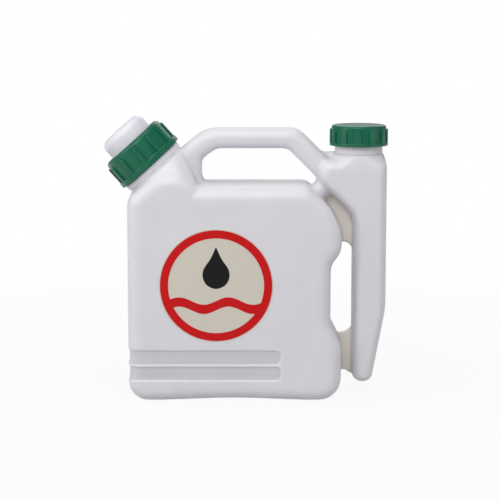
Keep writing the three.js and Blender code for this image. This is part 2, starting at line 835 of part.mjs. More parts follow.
// The closures that stand on the tilted filler axis.
const fillerClosure = new THREE.Group();
fillerClosure.position.set(fillerCentreX, 0, fillerCentreZ);
fillerClosure.rotation.y = -fillerTilt;
fillerClosure.add(fillerRingCap(), fillerStopper(), fillerGasket());

const assembly = new THREE.Group();
assembly.add(bottle(), fillerClosure, oilCap(), oilCapLiner(), ...labelPieces());

// The part's origin is the middle of its footprint box, on the surface it stands on.
const fuelMixingBottle = new THREE.Group();
fuelMixingBottle.add(assembly);
fuelMixingBottle.updateMatrixWorld(true);
const box = new THREE.Box3().setFromObject(assembly, true);
assembly.position.set(-(box.min.x + box.max.x) / 2, -(box.min.y + box.max.y) / 2, -box.min.z);

export default fuelMixingBottle;
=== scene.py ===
import math

import bmesh
import bpy
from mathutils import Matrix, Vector


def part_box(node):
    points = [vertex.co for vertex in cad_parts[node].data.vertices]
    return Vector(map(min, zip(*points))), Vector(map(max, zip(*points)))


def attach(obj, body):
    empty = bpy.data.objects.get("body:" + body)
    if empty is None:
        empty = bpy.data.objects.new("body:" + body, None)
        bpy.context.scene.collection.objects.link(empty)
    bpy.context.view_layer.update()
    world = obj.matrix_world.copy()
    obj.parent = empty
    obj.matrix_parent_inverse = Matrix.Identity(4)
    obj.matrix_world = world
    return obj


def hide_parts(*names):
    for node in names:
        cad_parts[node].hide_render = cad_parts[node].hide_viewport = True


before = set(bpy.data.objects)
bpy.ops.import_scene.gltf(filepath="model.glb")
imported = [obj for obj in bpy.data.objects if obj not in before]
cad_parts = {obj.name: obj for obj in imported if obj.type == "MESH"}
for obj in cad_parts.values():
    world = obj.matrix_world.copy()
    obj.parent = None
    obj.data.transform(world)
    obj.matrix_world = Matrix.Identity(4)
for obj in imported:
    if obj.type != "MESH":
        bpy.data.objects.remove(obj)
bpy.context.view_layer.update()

mm = 0.001
fullTurn = 2 * math.pi

# The bottle is drawn with x = 0 at the tank's left wall, z = 0 at its base and y = 0 on the
# mould's parting plane. The oil cap's axis says where that frame stands.
oilAxisX = 198.4
capLow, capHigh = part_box("oil_cap")
bottleShift = (capLow + capHigh) / 2 - Vector((oilAxisX * mm, 0, 0))
bottleShift.z = 0


# Selecting and finishing

def chooseOnly(*pieces):
    bpy.ops.object.select_all(action="DESELECT")
    for piece in pieces:
        piece.select_set(True)
    bpy.context.view_layer.objects.active = pieces[0]


def pickVerts(piece, test):
    # edit mode: selects the vertices whose place passes the test
    bpy.ops.mesh.select_mode(type="VERT")
    bpy.ops.mesh.select_all(action="DESELECT")
    shape = bmesh.from_edit_mesh(piece.data)
    for vert in shape.verts:
        if test(vert.co):
            vert.select_set(True)
    shape.select_flush(True)
    bmesh.update_edit_mesh(piece.data)


def tidyMesh(piece, gap=0.002):
    # doubles merged first, then every face turned to look outwards
    chooseOnly(piece)
    bpy.ops.object.mode_set(mode="EDIT")
    bpy.ops.mesh.select_all(action="SELECT")
    bpy.ops.mesh.remove_doubles(threshold=gap * mm)
    bpy.ops.mesh.delete_loose()
    bpy.ops.mesh.select_all(action="SELECT")
    bpy.ops.mesh.normals_make_consistent(inside=False)
    bpy.ops.object.mode_set(mode="OBJECT")


def placePiece(piece, location=(0, 0, 0), rotation=(0, 0, 0), scale=(1, 1, 1)):
    # puts a piece in its place and bakes that place into its mesh
    chooseOnly(piece)
    piece.location = [value * mm for value in location]
    piece.rotation_euler = rotation
    piece.scale = scale
    bpy.ops.object.transform_apply(location=True, rotation=True, scale=True)


def applyModifier(piece, kind, **settings):
    chooseOnly(piece)
    modifier = piece.modifiers.new(kind.lower(), kind)
    for name, value in settings.items():
        setattr(modifier, name, value)
    bpy.ops.object.modifier_apply(modifier=modifier.name)


def copyPiece(piece, name):
    chooseOnly(piece)
    bpy.ops.object.duplicate()
    copied = bpy.context.object
    copied.name = name
    return copied


def joinPieces(name, pieces):
    chooseOnly(*pieces)
    bpy.ops.object.join()
    joined = bpy.context.object
    joined.name = name
    return joined


def combine(piece, other, operation):
    # joins or cuts a piece by another one, which is used up
    applyModifier(piece, "BOOLEAN", object=other, operation=operation, solver="EXACT")
    bpy.data.objects.remove(other)


def settle(piece, name, body, node, material):
    # moves a piece from the drawing frame to the bottle's own, and hands it over to its body
    piece.name = name
    piece.data.name = name
    placePiece(piece, location=bottleShift / mm)
    piece.data.materials.clear()
    piece.data.materials.append(material)
    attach(piece, body)
    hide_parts(node)
    print("finished", name, len(piece.data.polygons), "faces")


# Forms that several pieces start from

def drawOutline(name, corners, flat=7.5):
    # one vertex drawn out from corner to corner, filled, rounded at the corners and left as edges;
    # a corner is its two places and its rounding, and flat is the angle that one facet turns
    bpy.ops.object.select_all(action="DESELECT")
    bpy.ops.mesh.primitive_plane_add(size=mm)
    outline = bpy.context.object
    outline.name = name
    bpy.ops.object.mode_set(mode="EDIT")
    bpy.ops.mesh.select_mode(type="VERT")
    bpy.ops.mesh.merge(type="CENTER")
    bpy.ops.transform.translate(value=(corners[0][0] * mm, corners[0][1] * mm, 0))
    for before, after in zip(corners, corners[1:]):
        step = ((after[0] - before[0]) * mm, (after[1] - before[1]) * mm, 0)
        bpy.ops.mesh.extrude_region_move(TRANSFORM_OT_translate={"value": step})
    bpy.ops.mesh.select_all(action="SELECT")
    bpy.ops.mesh.edge_face_add()
    for i, (x, y, radius) in enumerate(corners):
        if not radius:
            continue
        before = corners[i - 1]
        after = corners[(i + 1) % len(corners)]
        turn = math.atan2(after[1] - y, after[0] - x) - math.atan2(y - before[1], x - before[0])
        turn = abs((turn + math.pi) % fullTurn - math.pi)
        pickVerts(outline, lambda co: abs(co.x - x * mm) < 1e-5 and abs(co.y - y * mm) < 1e-5)
        bpy.ops.mesh.bevel(
            offset=radius * mm * math.tan(turn / 2),
            segments=max(2, round(math.degrees(turn) / flat)),
            profile=0.5, affect="VERTICES", clamp_overlap=False)
    bpy.ops.mesh.select_all(action="SELECT")
    bpy.ops.mesh.delete(type="ONLY_FACE")
    bpy.ops.object.mode_set(mode="OBJECT")
    return outline


def roundPlate(name, outlines, depth, edge, widen=1):
    # outlines filled as one flat curve, given thickness and a round edge, and stood on the parting
    # plane. With widen the edge reaches that much further along the depth than along the outline.
    plate = joinPieces(name, outlines)
    bpy.ops.object.convert(target="CURVE")
    plate = bpy.context.object
    curve = plate.data
    curve.dimensions = "2D"
    curve.fill_mode = "BOTH"
    curve.extrude = (depth / 2 / widen - edge) * mm
    curve.bevel_depth = edge * mm
    curve.bevel_resolution = 5
    curve.offset = -edge * mm
    bpy.ops.object.convert(target="MESH")
    plate = bpy.context.object
    placePiece(plate, rotation=(math.pi / 2, 0, 0), scale=(1, 1, widen))
    tidyMesh(plate)
    return plate


def turnedForm(name, corners, steps=96, flat=15):
    # a profile of radius and height spun once round the upright axis
    form = drawOutline(name, corners, flat)
    placePiece(form, rotation=(math.pi / 2, 0, 0))
    bpy.ops.object.mode_set(mode="EDIT")
    bpy.ops.mesh.select_all(action="SELECT")
    bpy.ops.mesh.spin(steps=steps, angle=fullTurn, center=(0, 0, 0), axis=(0, 0, 1))
    bpy.ops.object.mode_set(mode="OBJECT")
    tidyMesh(form)
    return form


thread = {
    "turns": 1.5,
    "stepsPerTurn": 72,
    "root": 1.2,     # half its width where it leaves the wall
    "crest": 0.65,   # half its width at the crest
    "proud": 1.4,
    "sunk": 0.4,     # part of it inside the wall that carries it
}


def threadForm(name, wallRadius, outward, pitch, start):
    # a raised thread, screwed round the axis from one profile and closed at its two ends
    root = wallRadius - outward * thread["sunk"]
    crest = wallRadius + outward * thread["proud"]
    low, high = start - thread["root"], start + thread["root"]
    form = drawOutline(name, [
        (root, low, 0), (crest, start - thread["crest"], 0.3),
        (crest, start + thread["crest"], 0.3), (root, high, 0),
    ], flat=45)
    placePiece(form, rotation=(math.pi / 2, 0, 0))
    steps = round(thread["turns"] * thread["stepsPerTurn"])
    applyModifier(
        form, "SCREW", axis="Z", angle=thread["turns"] * fullTurn, steps=steps, render_steps=steps,
        screw_offset=thread["turns"] * pitch * mm, use_merge_vertices=False)
    bpy.ops.object.mode_set(mode="EDIT")
    bpy.ops.mesh.select_mode(type="EDGE")
    bpy.ops.mesh.select_all(action="DESELECT")
    bpy.ops.mesh.select_non_manifold()
    bpy.ops.mesh.edge_face_add()
    bpy.ops.object.mode_set(mode="OBJECT")
    tidyMesh(form)
    return form


def ribRing(name, rib, innerRadius, outerRadius, turn):
    # one arched grip rib with a soft edge, copied twelve times round the cap
    half = rib["width"] / 2
    arch = half * 0.98  # just short of a half circle, so that the two curves don't meet
    first = roundPlate(name, [drawOutline(name, [
        (-half, rib["base"], 0), (half, rib["base"], 0),
        (half, rib["top"], arch), (-half, rib["top"], arch),
    ], flat=11)], outerRadius - innerRadius, rib["edge"])
    placePiece(first, location=(0, -(innerRadius + outerRadius) / 2, 0))
    ribs = [first]
    for i in range(1, rib["count"]):
        following = copyPiece(first, f"{name}{i}")
        placePiece(following, rotation=(0, 0, fullTurn * i / rib["count"]))
        ribs.append(following)
    ring = joinPieces(name, ribs)
    placePiece(ring, rotation=(0, 0, math.radians(turn)))
    return ring


# The filler neck's axis leans to the left
filler = {
    "tilt": 42,
    "centre": (19, 0, 201.8),
    "neckRadius": 25.5,
    "neckWall": 2.2,
    "neckTop": 18.4,
    "lip": 0.7,
    "beadRadius": 29,
    "beadLow": -4.8,
    "beadTop": -0.4,
    "beadCurves": (1.5, 0.7),
    "grooveIn": 0.9,
    "grooveTop": -5.2,
    "shoulderDrop": 7.5,
    "shoulderRadius": 30,
    "shoulderCorner": 12,
    "plateDrop": 22,
    "plateReach": 62,
    "peakWidth": 22,
    "lobeRise": 13,
    "lobeCurve": 14,
    "threadStart": 4.5,
    "pitch": 6,
    "boreDepth": 20,
}


def leanBack(piece):
    placePiece(piece, location=filler["centre"], rotation=(0, -math.radians(filler["tilt"]), 0))


def fillerPoint(radius, height):
    lean = math.radians(filler["tilt"])
    centreX, centreY, centreZ = filler["centre"]
    return (centreX + radius * math.cos(lean) - height * math.sin(lean),
            centreZ + radius * math.sin(lean) + height * math.cos(lean))


# The bottle

tank = {
    "width": 183,
    "height": 185,
    "depth": 80,
    "edge": 11,
    "footLeft": 17,
    "footRight": 19,
    "archEnds": (29, 152),
    "archRise": 2.2,
    "archRadius": 400,
    "recessX": 173.7,
    "recess": (66, 116.6),
    "ramps": (47.6, 129.7),
    "rampCurve": 14,
    "backChamfer": 28.3,
    "backCurve": 44,
    "topCurve": 12,
    "wall": 1.6,
}

handle = {
    "depth": 26,
    "edge": 8,
    "top": 232.9,
    "opening": (184.5, 215.4),
    "openingLeft": 63.2,
    "legThickness": 18.7,
    "legShift": 3.9,
    "slope": 0.79,
    "rootReach": 32,
    "rootBack": 16,
    "rootLead": 8,
    "rootDrop": 0.4,
    "barSink": 20,
    "footOut": 21.5,
    "footBack": 22,
    "footRise": 2,
    "kneeCurves": (14, 26),
    "tipOut": 0.8,
    "tipRise": 3.1,
    "tipCurve": 4.5,
    "rampOut": (18.3, 10.3),
    "rampDrop": 5,
    "rampCurve": 3,
    "openingCorner": 9,
    "openingSlant": (13, 8.9),
    "slantCurves": (10, 8),
}

chamber = {
    "left": 193.5,
    "right": 222.3,
    "base": 12.2,
    "depth": 46,
    "edge": 7.5,
    "edgeDepth": 14,
    "taperStart": 77,
    "taperIn": 12.1,
    "headTop": 206.6,
    "headLeft": 163.5,
    "headSum": 351.86,     # x and z have this sum along the head's slanting underside
    "taperCurve": 60,
    "nookCurve": 20,
}

web = {
    "thickness": 3,
    "base": 20,
    "step": 2.5,
    "top": 213,
    "edge": 0.8,
    "inTank": 20,
    "inChamber": 4,
    "headIn": 2,
    "headOut": (3, 8),
    "nook": (4.5, 5),
    "tip": (5.5, 9),
    "tankRise": 3,
    "slot": (54.5, 133.8),
    "slotSink": (6, 0.5),
    "slotCorner": 9.5,
    # where the pinched web's painted light reaches and how it fades out; the web is painted lighter
    # and warmer to stand in for light shining through it
    "paintedLightTop": 190,
    "paintedLightReach": (4, 3),
    "paintedLightEdge": 1.6,
    "paintedLightFade": 1.2,
}

bands = {
    "bases": (18.8, 32.8),
    "height": 12,
    "end": 131,
    "corner": 4.5,
    "depth": 1.2,
    "soft": 0.9,
    "reach": 3,      # how far round them the mesh is made finer
}

surface = {
    "voxel": 1.3,
    "smoothing": 9,
    "keep": 0.55,
    "hollowVoxel": 2.6,
    "hollowSmoothing": 4,
    "hollowKeep": 0.4,
    "sharpAngle": 38,
}

oilNeck = {
    "radius": 20.5,
    "wall": 1.8,
    "capBase": 217.9,
    "top": 13.5,
    "pitch": 5,
    "lip": 0.7,
    "threadStart": 4,
    "shoulderRise": 4.4,
    "shoulderStep": 0.9,
    "shoulderCorner": 10,
    "shoulderDrop": 6,
}


def shoulderFoot():
    x, z = fillerPoint(0, -filler["shoulderDrop"])
    return z - x * math.tan(math.radians(filler["tilt"]))


def tankForm():
    foot = shoulderFoot()
    slopeEnd = (tank["height"] - foot) / math.tan(math.radians(filler["tilt"]))
    archStart, archEnd = tank["archEnds"]
    rampLow, rampHigh = tank["ramps"]
    recessLow, recessHigh = tank["recess"]
    return roundPlate("tankForm", [drawOutline("tankOutline", [
        (0, 0, tank["footLeft"]),
        (archStart, 0, 0),
        ((archStart + archEnd) / 2, tank["archRise"], tank["archRadius"]),
        (archEnd, 0, 0),
        (tank["width"], 0, tank["footRight"]),
        (tank["width"], rampLow, tank["rampCurve"]),
        (tank["recessX"], recessLow, tank["rampCurve"]),
        (tank["recessX"], recessHigh, tank["rampCurve"]),
        (tank["width"], rampHigh, tank["rampCurve"]),
        (tank["width"], tank["height"] - tank["backChamfer"], tank["backCurve"]),
        (tank["width"] - tank["backChamfer"], tank["height"], tank["topCurve"]),
        (slopeEnd, tank["height"], tank["topCurve"]),
        (0, foot, tank["topCurve"]),
    ])], tank["depth"], tank["edge"])


def shoulderForm():
    # from the tank's full depth to the round neck: a plate and the neck's rim in one hull
    foot = shoulderFoot()
    peakX, peakZ = fillerPoint(0, -filler["shoulderDrop"])
    corner, curve = filler["shoulderCorner"], filler["lobeCurve"]
    plateBase = foot - filler["plateDrop"]
    lobe = roundPlate("shoulderForm", [drawOutline("lobeOutline", [
        (0, plateBase, corner),
        (filler["plateReach"], plateBase, corner),
        (filler["plateReach"], tank["height"], corner),
        (peakX + filler["peakWidth"], tank["height"] + filler["lobeRise"], curve),
        (peakX, peakZ, curve),
        (0, foot, corner),
    ])], tank["depth"], tank["edge"])
    bpy.ops.mesh.primitive_circle_add(
        vertices=96, radius=filler["shoulderRadius"] * mm, fill_type="NGON")
    rim = bpy.context.object
    placePiece(rim, location=(0, 0, -filler["shoulderDrop"]))
    leanBack(rim)
    form = joinPieces("shoulderForm", [lobe, rim])
    bpy.ops.object.mode_set(mode="EDIT")
    bpy.ops.mesh.select_all(action="SELECT")
    bpy.ops.mesh.convex_hull()
    bpy.ops.object.mode_set(mode="OBJECT")
    tidyMesh(form)
    return form


def handleForm():
    headLeft, tankTop, top = chamber["headLeft"], tank["height"], handle["top"]
    openingLeft = handle["openingLeft"]
    openingLow, openingTop = handle["opening"]
    tipX = headLeft + handle["tipOut"]
    tipZ = tankTop + handle["tipRise"]
    # the leg's outer edge runs down at 45 degrees, so x and z on it have one sum
    outerSum = headLeft + tankTop + handle["legShift"] + handle["legThickness"] * math.sqrt(2)
    rootX, rootZ = fillerPoint(handle["rootReach"], -filler["shoulderDrop"])
    kneeX = rootX + (top - rootZ - handle["rootDrop"]) / handle["slope"]
    footX = headLeft + handle["footOut"]
    barBase = tankTop - handle["barSink"]
    legCurve, kneeCurve = handle["kneeCurves"]
    bar = drawOutline("barOutline", [
        (rootX - handle["rootBack"], barBase, 0),
        (footX - handle["footBack"], barBase, 0),
        (footX, tankTop + handle["footRise"], 0),
        (footX, outerSum - footX, 0),
        (outerSum - top, top, legCurve),
        (kneeX, top, kneeCurve),
        (rootX - handle["rootLead"], rootZ - handle["rootLead"] * handle["slope"], 0),
    ])
    rampStart, rampEnd = handle["rampOut"]
    slantOut, slantDrop = handle["openingSlant"]
    slantTop, slantLow = handle["slantCurves"]
    opening = drawOutline("openingOutline", [
        (openingLeft, openingLow, handle["openingCorner"]),
        (tipX - rampStart, openingLow, 0),
        (tipX - rampEnd, tankTop - handle["rampDrop"], handle["rampCurve"]),
        (tipX, tipZ, handle["tipCurve"]),
        (tipX - (openingTop - tipZ), openingTop, handle["openingCorner"]),
        (openingLeft + slantOut, openingTop, slantTop),
        (openingLeft, openingTop - slantDrop, slantLow),
    ])
    return roundPlate("handleForm", [bar, opening], handle["depth"], handle["edge"])


def chamberForm():
    headLeft, left, right = chamber["headLeft"], chamber["left"], chamber["right"]
    edge = chamber["edge"]
    return roundPlate("chamberForm", [drawOutline("chamberOutline", [
        (left, chamber["base"], edge + 0.4),
        (right - chamber["taperIn"], chamber["base"], edge + 0.4),
        (right, chamber["taperStart"], chamber["taperCurve"]),
        (right, chamber["headTop"], edge + 1),
        (headLeft, chamber["headTop"], edge + 3),
        (headLeft, chamber["headSum"] - headLeft, edge + 3),
        (left, chamber["headSum"] - left, chamber["nookCurve"]),
    ])], chamber["depth"], edge, widen=chamber["edgeDepth"] / edge)


def oilShoulderForm():
    # the short shoulder from the head's rounded box to the round oil neck
    halfX = chamber["right"] - oilAxisX
    bpy.ops.mesh.primitive_circle_add(
        vertices=96, radius=(oilNeck["radius"] + oilNeck["shoulderStep"]) * mm, fill_type="NGON")
    rim = bpy.context.object
    placePiece(rim, location=(0, 0, chamber["headTop"] + oilNeck["shoulderRise"]))
    bpy.ops.mesh.primitive_plane_add(size=2 * mm)
    base = bpy.context.object
    placePiece(base, scale=(halfX, chamber["depth"] / 2, 1))
    bpy.ops.object.mode_set(mode="EDIT")
    bpy.ops.mesh.bevel(offset=oilNeck["shoulderCorner"] * mm, segments=10, affect="VERTICES")
    bpy.ops.object.mode_set(mode="OBJECT")
    placePiece(base, location=(0, 0, chamber["headTop"] - oilNeck["shoulderDrop"]))
    form = joinPieces("oilShoulderForm", [rim, base])
    bpy.ops.object.mode_set(mode="EDIT")
    bpy.ops.mesh.select_all(action="SELECT")
    bpy.ops.mesh.convex_hull()
    bpy.ops.object.mode_set(mode="OBJECT")
    tidyMesh(form)
    placePiece(form, location=(oilAxisX, 0, 0))
    return form


def webForm():
    # the flat web that the mould pinches together between tank and chamber, with its long slot
    inTank = tank["width"] - web["inTank"]
    inChamber = chamber["left"] + web["inChamber"]
    stepX = chamber["left"] - 2 * web["step"]
    headLeft, tankTop = chamber["headLeft"], tank["height"]
    headOut, headDrop = web["headOut"]
    nookIn, nookRise = web["nook"]
    tipOut, tipDrop = web["tip"]
    slotLow, slotHigh = web["slot"]
    slotLeft = tank["recessX"] - web["slotSink"][0]
    slotRight = chamber["left"] + web["slotSink"][1]
    outline = drawOutline("webOutline", [
        (inTank, web["base"], 0),
        (stepX, web["base"], 0),
        (stepX + web["step"], web["base"] - web["step"], 0),
        (inChamber, web["base"] - web["step"], 0),
        (inChamber, web["top"], 0),
        (headLeft + web["headIn"], web["top"], 0),
        (headLeft - headOut, web["top"] - headDrop, 0),
        (headLeft + nookIn, tankTop + nookRise, 0),
        (headLeft - tipOut, tankTop - tipDrop, 0),
        (inTank, tankTop - tank["backChamfer"] + web["tankRise"], 0),
    ])
    slot = drawOutline("slotOutline", [
        (slotLeft, slotLow, 0),
        (slotRight, slotLow, web["slotCorner"]),
        (slotRight, slotHigh, web["slotCorner"]),
        (slotLeft, slotHigh, 0),
    ])
    return roundPlate("webForm", [outline, slot], web["thickness"], web["edge"])


def bandWeight(co, base):
    # 1 inside a pressed grip band, 0 outside it, with a soft step at its border
    corner = bands["corner"]
    x = co.x / mm - (bands["end"] - corner)
    z = abs(co.z / mm - base - bands["height"] / 2) - (bands["height"] / 2 - corner)
    outside = math.hypot(max(x, 0), max(z, 0)) + min(max(x, z), 0) - corner
    share = min(1, max(0, 0.5 - outside / bands["soft"]))
    return share * share * (3 - 2 * share)


def pressBands(shell):
    # a finer mesh where the bands are, then their faces sunk along their own direction
    chooseOnly(shell)
    bpy.ops.object.mode_set(mode="EDIT")
    low = (bands["bases"][0] - bands["reach"]) * mm
    high = (bands["bases"][1] + bands["height"] + bands["reach"]) * mm
    right = (bands["end"] + bands["reach"]) * mm
    pickVerts(shell, lambda co: low < co.z < high and co.x < right)
    bpy.ops.mesh.subdivide(number_cuts=1)
    bpy.ops.object.mode_set(mode="OBJECT")
    group = shell.vertex_groups.new(name="gripBands")
    for vert in shell.data.vertices:
        weight = max(bandWeight(vert.co, base) for base in bands["bases"])
        if weight > 0:
            group.add([vert.index], weight, "REPLACE")
    applyModifier(
        shell, "DISPLACE", strength=-bands["depth"] * mm, mid_level=0, vertex_group="gripBands")
    shell.vertex_groups.clear()


def paintWebLight(shell):
    # painted light: how much of each point lies on the thin pinched web, which the material paints
    # lighter and warmer to stand in for the light shining through it and to lift the shade of its
    # deep gap
    share = shell.data.attributes.new("webPaintedLight", "FLOAT", "POINT")
    left = tank["recessX"] - web["paintedLightReach"][0]
    right = chamber["left"] + web["paintedLightReach"][1]
    edge = web["thickness"] / 2 + web["paintedLightEdge"]
    for vert, value in zip(shell.data.vertices, share.data):
        x, y, z = (part / mm for part in vert.co)
        inside = left < x < right and z < web["paintedLightTop"]
        value.value = min(1, max(0, (edge - abs(y)) / web["paintedLightFade"])) if inside else 0


def fillerNeckForm():
    drop = filler["shoulderDrop"]
    radius, bead, top = filler["neckRadius"], filler["beadRadius"], filler["neckTop"]
    groove, base = bead - filler["grooveIn"], -drop - 2
    lowCurve, topCurve = filler["beadCurves"]
    neck = turnedForm("fillerNeck", [
        (0, base, 0), (groove, base, 0), (groove, filler["grooveTop"], 1),
        (bead, filler["beadLow"], lowCurve), (bead, filler["beadTop"], topCurve),
        (radius, filler["beadTop"], 0.2),
        (radius, top, filler["lip"]), (0, top, 0),
    ])
    ridge = threadForm("fillerThread", radius, 1, filler["pitch"], filler["threadStart"])
    combine(neck, ridge, "UNION")
    leanBack(neck)
    return neck


def fillerBoreForm():
    bore = filler["neckRadius"] - filler["neckWall"]
    low, high = -filler["boreDepth"], filler["neckTop"] + 1
    form = turnedForm("fillerBore", [(0, low, 0), (bore, low, 0), (bore, high, 0), (0, high, 0)])
    leanBack(form)
    return form


def oilNeckForm():
    radius, top = oilNeck["radius"], oilNeck["top"]
    low = chamber["headTop"] - oilNeck["capBase"] + oilNeck["shoulderRise"] - 0.5
    neck = turnedForm("oilNeck", [
        (0, low, 0), (radius, low, 0), (radius, top, oilNeck["lip"]), (0, top, 0)])
    ridge = threadForm("oilThread", radius, 1, oilNeck["pitch"], oilNeck["threadStart"])
    combine(neck, ridge, "UNION")
    placePiece(neck, location=(oilAxisX, 0, oilNeck["capBase"]))
    return neck


def oilBoreForm():
    bore = oilNeck["radius"] - oilNeck["wall"]
    low = chamber["headTop"] - oilNeck["capBase"] - oilNeck["shoulderDrop"]
    high = oilNeck["top"] + 1
    form = turnedForm("oilBore", [(0, low, 0), (bore, low, 0), (bore, high, 0), (0, high, 0)])
    placePiece(form, location=(oilAxisX, 0, oilNeck["capBase"]))
    return form


def buildBottle(material):
    shell = joinPieces("bottleShell", [
        tankForm(), shoulderForm(), handleForm(), chamberForm(), oilShoulderForm()])
    hollow = copyPiece(shell, "bottleHollow")
    shell = joinPieces("bottleShell", [shell, webForm()])
    print("bottle forms drawn")
    # one skin over all the forms, its creases eased into the soft blends of a blown moulding
    applyModifier(shell, "REMESH", mode="VOXEL", voxel_size=surface["voxel"] * mm, adaptivity=0)
    applyModifier(shell, "SMOOTH", factor=0.5, iterations=surface["smoothing"])
    pressBands(shell)
    applyModifier(shell, "DECIMATE", ratio=surface["keep"])
    print("bottle skin", len(shell.data.polygons), "faces")
    applyModifier(
        hollow, "REMESH", mode="VOXEL", voxel_size=surface["hollowVoxel"] * mm, adaptivity=0)
    applyModifier(hollow, "SMOOTH", factor=0.5, iterations=surface["hollowSmoothing"])
    applyModifier(hollow, "DISPLACE", strength=-tank["wall"] * mm, mid_level=0)
    applyModifier(hollow, "DECIMATE", ratio=surface["hollowKeep"])
    combine(shell, fillerNeckForm(), "UNION")
    combine(shell, oilNeckForm(), "UNION")
    combine(shell, hollow, "DIFFERENCE")
    combine(shell, fillerBoreForm(), "DIFFERENCE")
    combine(shell, oilBoreForm(), "DIFFERENCE")
    # painted light on the pinched web, which the material reads as a lighter, warmer colour
    paintWebLight(shell)
    chooseOnly(shell)
    bpy.ops.object.shade_smooth_by_angle(angle=math.radians(surface["sharpAngle"]))
    settle(shell, "bottleShell", "bottle", "bottle", material)


# The filler's ring cap

closureSharpAngle = math.radians(32)  # of all three closures

ringCap = {
    "height": 25.3,
    "bore": 27.3,
    "bodyRadius": 29.3,
    "flangeRadius": 31.7,
    "flangeHeight": 4.9,
    "topThickness": 2.4,
    "topEdge": 4,
    "hole": 21.7,
    "rib": {"count": 12, "width": 4.3, "base": 4.2, "top": 20.4, "edge": 0.85},
    "ribSink": 1,
    "ribProud": 1.7,
    "ribTurn": 1,
    "threadStart": 1.5,
}


def buildRingCap(material):
    body, flange = ringCap["bodyRadius"], ringCap["flangeRadius"]
    height = ringCap["height"]
    cap = turnedForm("ringCap", [
        (ringCap["bore"], 0, 0.3),
        (flange, 0, 0.5),
        (flange, ringCap["flangeHeight"], 0.9),
        (body, ringCap["flangeHeight"], 0.4),
        (body, height, ringCap["topEdge"]),
        (ringCap["hole"], height, 0.5),
        (ringCap["hole"], height - ringCap["topThickness"], 0),
        (ringCap["bore"], height - ringCap["topThickness"], 0),
    ], steps=144)
    ribs = ribRing(
        "ringRibs", ringCap["rib"], body - ringCap["ribSink"], body + ringCap["ribProud"],
        ringCap["ribTurn"])
    ridge = threadForm("ringThread", ringCap["bore"], -1, filler["pitch"], ringCap["threadStart"])
    combine(cap, ribs, "UNION")
    combine(cap, ridge, "UNION")
    leanBack(cap)
    bpy.ops.object.shade_smooth_by_angle(angle=closureSharpAngle)
    settle(cap, "ringCap", "filler_ring_cap", "filler_ring_cap", material)


# The stopper that shows through the ring

stopper = {
    "radius": 21.3,
    "brim": 25.5,
    "brimLow": 20.6,
    "brimHigh": 22.6,
    "top": 40.1,
    "crown": 0.6,
    "edge": 7,
    "wall": 1.8,
}


def buildStopper(material):
    radius, wall, top = stopper["radius"], stopper["wall"], stopper["top"]
    piece = turnedForm("fillerStopper", [
        (0, top + stopper["crown"] - wall, 0),
        (radius - wall, top - wall, stopper["edge"] - wall),
        (radius - wall, stopper["brimLow"], 0.4),
        (stopper["brim"], stopper["brimLow"], 0.4),
        (stopper["brim"], stopper["brimHigh"], 0.4),
        (radius, stopper["brimHigh"], 0.3),
        (radius, top, stopper["edge"]),
        (0, top + stopper["crown"], 0),
    ], steps=128, flat=6)
    leanBack(piece)
    bpy.ops.object.shade_smooth_by_angle(angle=closureSharpAngle)
    settle(piece, "fillerStopper", "filler_stopper", "filler_stopper", material)


# The oil cap

oilCap = {
    "height": 17.5,
    "bore": 22.3,
    "bodyRadius": 23.5,
    "flangeRadius": 25.2,
    "flangeHeight": 2.8,
    "topThickness": 2.2,
    "topEdge": 2.2,
    "rib": {"count": 12, "width": 5.7, "base": 2.2, "top": 14.3, "edge": 0.8},
    "ribSink": 0.7,
    "ribProud": 1.5,
    "ribTurn": -4.8,
    "threadStart": 1.5,
}


def buildOilCap(material):
    body, flange = oilCap["bodyRadius"], oilCap["flangeRadius"]
    ceiling = oilCap["height"] - oilCap["topThickness"]
    cap = turnedForm("oilCap", [
        (0, ceiling, 0),
        (oilCap["bore"], ceiling, 0.6),
        (oilCap["bore"], 0, 0.3),
        (flange, 0, 0.4),
        (flange, oilCap["flangeHeight"], 0.7),
        (body, oilCap["flangeHeight"], 0.4),
        (body, oilCap["height"], oilCap["topEdge"]),
        (0, oilCap["height"], 0),
    ], steps=144)
    ribs = ribRing(
        "oilRibs", oilCap["rib"], body - oilCap["ribSink"], body + oilCap["ribProud"],
        oilCap["ribTurn"])
    ridge = threadForm("oilCapThread", oilCap["bore"], -1, oilNeck["pitch"], oilCap["threadStart"])
    combine(cap, ribs, "UNION")
    combine(cap, ridge, "UNION")
    placePiece(cap, location=(oilAxisX, 0, oilNeck["capBase"]))
    bpy.ops.object.shade_smooth_by_angle(angle=closureSharpAngle)
    settle(cap, "oilCap", "oil_cap", "oil_cap", material)


# The front label, a printed disc of vinyl

label = {
    "centre": (75.8, -39.95, 101.4),
    "radius": 48.5,
    "thickness": 0.25,
    "print": 0.12,
    "ringOuter": 47.7,
    "ringInner": 40.8,
    "bandDrop": 17,
    "bandWidth": 8,
    "waveHeight": 3.2,
    "waveLength": 42,
    "ringLap": 0.5,         # how far the band runs in under the ring
    "dropRadius": 11.5,
    "dropLift": 9,
    "dropTip": 33.5,
    "tipCurve": 0.4,
    "waist": (0.42, 0.95),  # in radii, from the axis and below the tip
    "waistCurve": 30,
    "bellyCorners": 6,      # 45 degrees apart round the belly
}


def thicken(piece, thickness, low=0):
    # a flat face pulled out to a thin sheet, stood up to face the front and put on the bottle
    chooseOnly(piece)
    bpy.ops.object.mode_set(mode="EDIT")
    bpy.ops.mesh.select_all(action="SELECT")
    bpy.ops.mesh.extrude_region_move(TRANSFORM_OT_translate={"value": (0, 0, thickness * mm)})
    bpy.ops.object.mode_set(mode="OBJECT")
    placePiece(piece, location=(0, 0, low))
    placePiece(piece, location=label["centre"], rotation=(math.pi / 2, 0, 0))
    tidyMesh(piece, gap=0.0002)


def flatDisc(name, radius):
    bpy.ops.object.select_all(action="DESELECT")
    bpy.ops.mesh.primitive_circle_add(vertices=192, radius=radius * mm, fill_type="NGON")
    disc = bpy.context.object
    disc.name = name
    return disc


